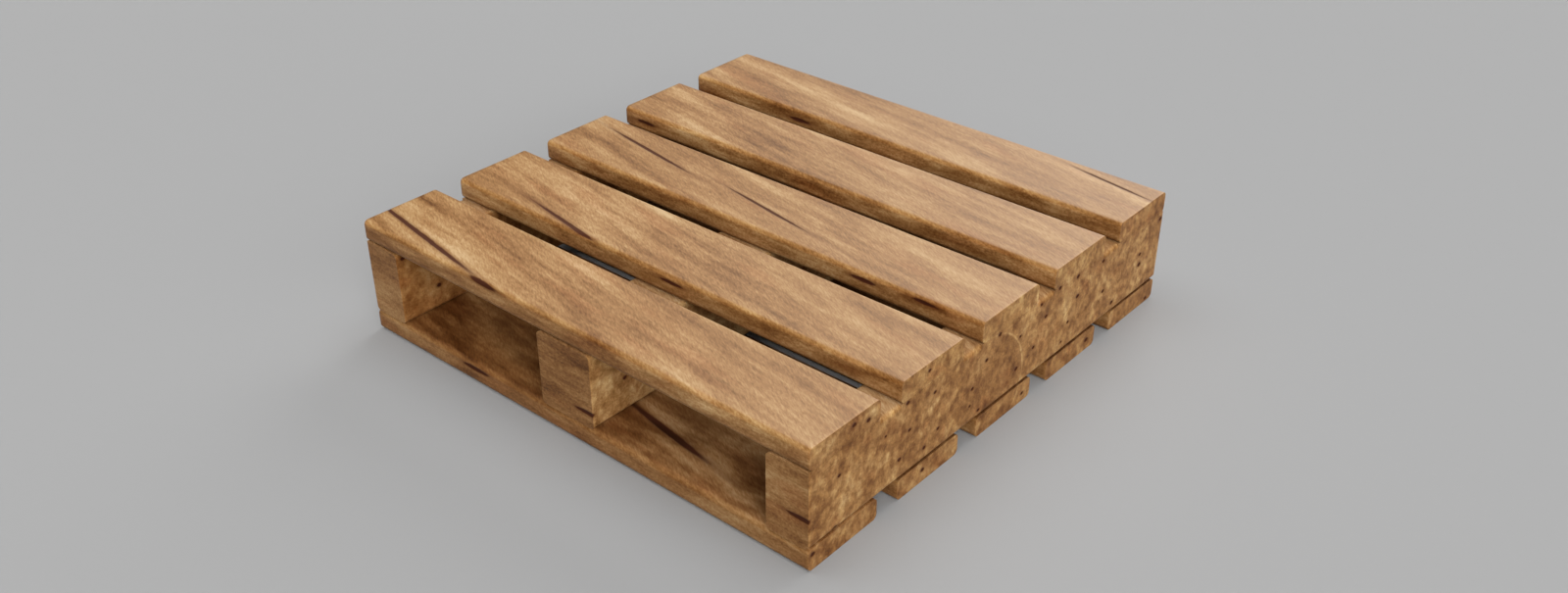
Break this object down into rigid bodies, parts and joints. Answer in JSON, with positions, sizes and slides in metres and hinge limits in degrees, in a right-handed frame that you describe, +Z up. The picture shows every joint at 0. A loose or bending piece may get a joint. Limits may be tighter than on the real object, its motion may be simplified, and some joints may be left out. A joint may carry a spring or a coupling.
{
  "type": "wooden pallet",
  "caption": "Square reversible wooden pallet: spaced round-edged deck boards and matching base boards nailed to solid stringers, with fork pockets running right through.",
  "frame": {"origin": "on the floor, under the middle of the pallet", "axes": "+Z up; X along the deck and base boards; Y along the stringers and the fork pockets"},
  "size_m": [1, 1, 0.22],
  "materials": {
    "timber": "planed honey-brown wood with fine fibrous grain, unfinished satin",
    "nail_steel": "bright drawn wire",
    "filler": "wood-coloured stopping, sanded level"
  },
  "bodies": {
    "root": {"top_board_1": "timber", "top_board_2": "timber", "top_board_3": "timber", "top_board_4": "timber", "top_board_5": "timber", "left_stringer": "timber", "middle_stringer": "timber", "right_stringer": "timber", "bottom_board_1": "timber", "bottom_board_2": "timber", "bottom_board_3": "timber", "bottom_board_4": "timber", "bottom_board_5": "timber", "top_board_1_nails": "nail_steel", "top_board_2_nails": "nail_steel", "top_board_3_nails": "nail_steel", "top_board_4_nails": "nail_steel", "top_board_5_nails": "nail_steel", "bottom_board_1_nails": "nail_steel", "bottom_board_2_nails": "nail_steel", "bottom_board_3_nails": "nail_steel", "bottom_board_4_nails": "nail_steel", "bottom_board_5_nails": "nail_steel", "top_board_1_filler": "filler", "top_board_2_filler": "filler", "top_board_3_filler": "filler", "top_board_4_filler": "filler", "top_board_5_filler": "filler", "bottom_board_1_filler": "filler", "bottom_board_2_filler": "filler", "bottom_board_3_filler": "filler", "bottom_board_4_filler": "filler", "bottom_board_5_filler": "filler"}
  },
  "joints": []
}
